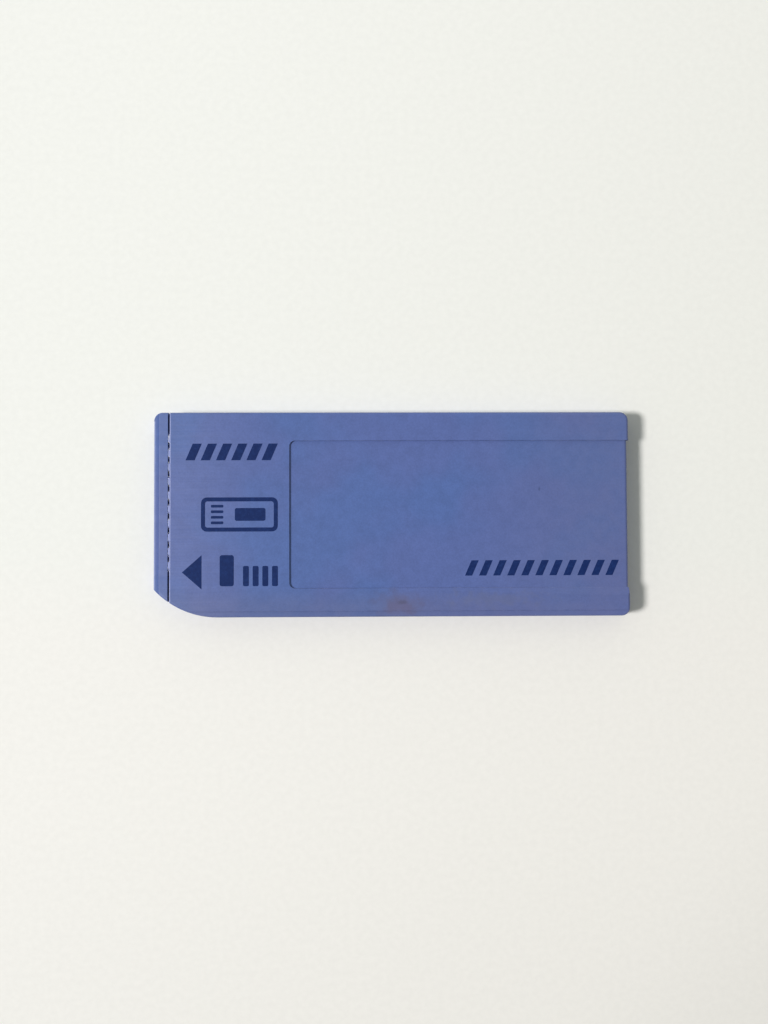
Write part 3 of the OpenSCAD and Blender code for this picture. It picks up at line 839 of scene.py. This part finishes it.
# %% [markdown]
# ## Blue light under the nose
# Through the seam one looks down the windows onto the sheet. There it is dim and blue, because thin dyed
# plastic lets some blue light through. Real see-through plastic would need many more samples for
# a line one pixel wide. The sheet is tinted there instead, where nothing but the windows shows it.

# %% Tint under the nose
THROUGH_PLASTIC = (0.46, 0.54, 0.95)
WINDOWS_HALF_WIDTH = (8.8, 8.0)
WINDOWS_MOUTH = (0.4, 1.2)
WINDOWS_END = (7.5, 6.5)


def tinted_under_nose(tree, place, colour):
    along, across, _ = parts_of(tree, place)
    within = ramp(tree, calc(tree, "ABSOLUTE", across), *WINDOWS_HALF_WIDTH)
    behind_mouth = ramp(tree, along, nose_x + WINDOWS_MOUTH[0], nose_x + WINDOWS_MOUTH[1])
    before_board = ramp(tree, along, nose_x + WINDOWS_END[0], nose_x + WINDOWS_END[1])
    under_nose = calc(tree, "MULTIPLY", within, calc(tree, "MULTIPLY", behind_mouth, before_board))
    return blend(tree, under_nose, colour, vector(tree, "MULTIPLY", colour, THROUGH_PLASTIC))


print("tint under the nose:", THROUGH_PLASTIC)

# %% [markdown]
# ## Paper with one side
# From above the sheet is paper. From below it isn't there, so the underside of the card can be seen. The
# backfacing output tells the two apart: it is 1 where a ray meets the back of a face.

# %% Paper
TOOTH_HEIGHT = 0.02

paper, tree, surface = new_finish("table_paper", roughness=0.8, specular=0.1)
place = place_in_mm(tree)
tooth = noise(tree, place, 1.5, 4.0, 0.6)
colour = tinted_under_nose(tree, place, sheet_colour(tree, place, tooth))
set_input(tree, surface, "Base Color", colour)
emboss(tree, surface, tooth, TOOTH_HEIGHT, 0.2)
from_below = add(tree, "ShaderNodeNewGeometry").outputs["Backfacing"]
unseen = add(tree, "ShaderNodeBsdfTransparent")
one_sided = add(tree, "ShaderNodeMixShader", i0=from_below, i1=surface.outputs[0], i2=unseen.outputs[0])
tree.links.new(one_sided.outputs[0], tree.nodes["Material Output"].inputs["Surface"])
table.data.materials.append(paper)
print("paper finish:", len(tree.nodes), "nodes")

# %% [markdown]
# ## The room
# The room lights everything softly, most from the far side (+Y) and from the lamp's side, which is why the
# recess's near wall shows almost no line. An area lamp could do it, but it would add a second shadow.
# It sends no light from below the table. Metal and gloss mirror a room in the sheet's tone, and where the
# camera looks past the table it sees that tone too.

# %% Room
ROOM_LIGHT = (0.318, 0.336, 0.322, 1)
ROOM_SLOPE = (-0.35, 0.75, 0.0)

world = bpy.data.worlds.new("room")
bpy.context.scene.world = world
world.use_nodes = True
tree = world.node_tree
tree.nodes.clear()
way = add(tree, "ShaderNodeTexCoord").outputs["Generated"]
brightness = calc(tree, "ADD", dot(tree, way, ROOM_SLOPE), 1.0)
over_table = calc(tree, "GREATER_THAN", parts_of(tree, way)[2], 0.0)
lit = calc(tree, "MULTIPLY", brightness, over_table)
fill = add(tree, "ShaderNodeBackground", Color=ROOM_LIGHT, Strength=lit)
mirrored = add(tree, "ShaderNodeBackground", Color=TABLE_DIM, Strength=brightness)
seen = add(tree, "ShaderNodeBackground", Color=TABLE_DIM, Strength=1.0)
rays = add(tree, "ShaderNodeLightPath")
through = calc(tree, "MAXIMUM", rays.outputs["Is Glossy Ray"], rays.outputs["Is Transmission Ray"])
room = add(tree, "ShaderNodeMixShader", i0=through, i1=fill.outputs[0], i2=mirrored.outputs[0])
both = add(tree, "ShaderNodeMixShader", i0=rays.outputs["Is Camera Ray"], i1=room.outputs[0], i2=seen.outputs[0])
add(tree, "ShaderNodeOutputWorld", Surface=both.outputs[0])
bpy.context.scene.view_settings.view_transform = "Standard"
print("room light", ROOM_LIGHT[:3])
